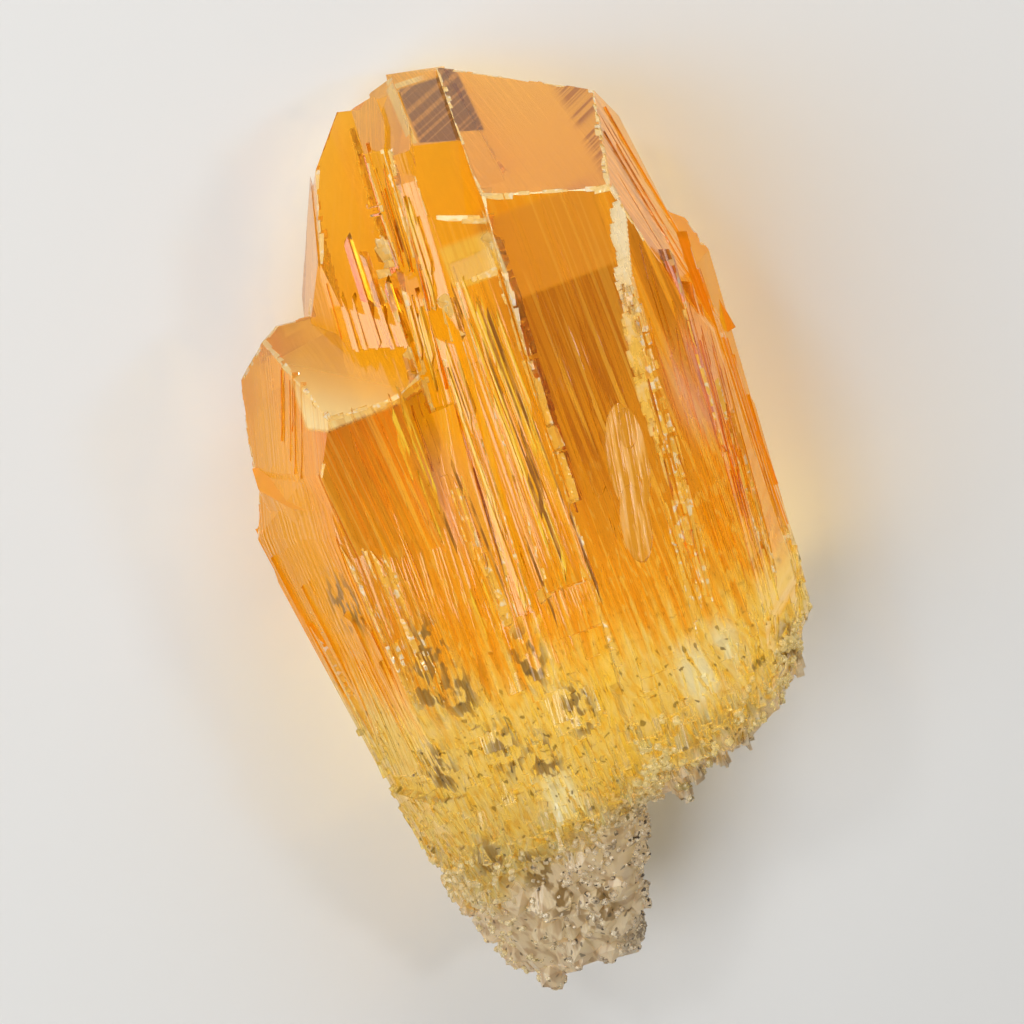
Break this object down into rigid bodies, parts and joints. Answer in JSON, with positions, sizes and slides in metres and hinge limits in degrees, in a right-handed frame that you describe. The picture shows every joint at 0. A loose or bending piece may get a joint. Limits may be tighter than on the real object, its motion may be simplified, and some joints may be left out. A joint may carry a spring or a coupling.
{
  "type": "kunzite crystal",
  "caption": "Rough golden gem crystal: fused, flattened prisms with slanted end faces and striated sides, tapering to a ragged, etched root; a display specimen.",
  "frame": {"origin": "centre of the bounding box, at the level of the flat back that it rests on", "axes": "+Y along the crystal's long axis, from the root to the slanted end faces; +Z up, out of the front that the picture shows; +X across, to the right with +Y up"},
  "size_m": [0.0398, 0.0734, 0.0225],
  "materials": {
    "kunzite": "clear golden-orange crystal, polished by growth on its faces, striated along them, frosted and pale at the etched root"
  },
  "bodies": {
    "root": {"kunzite_crystal": "kunzite"}
  },
  "joints": []
}
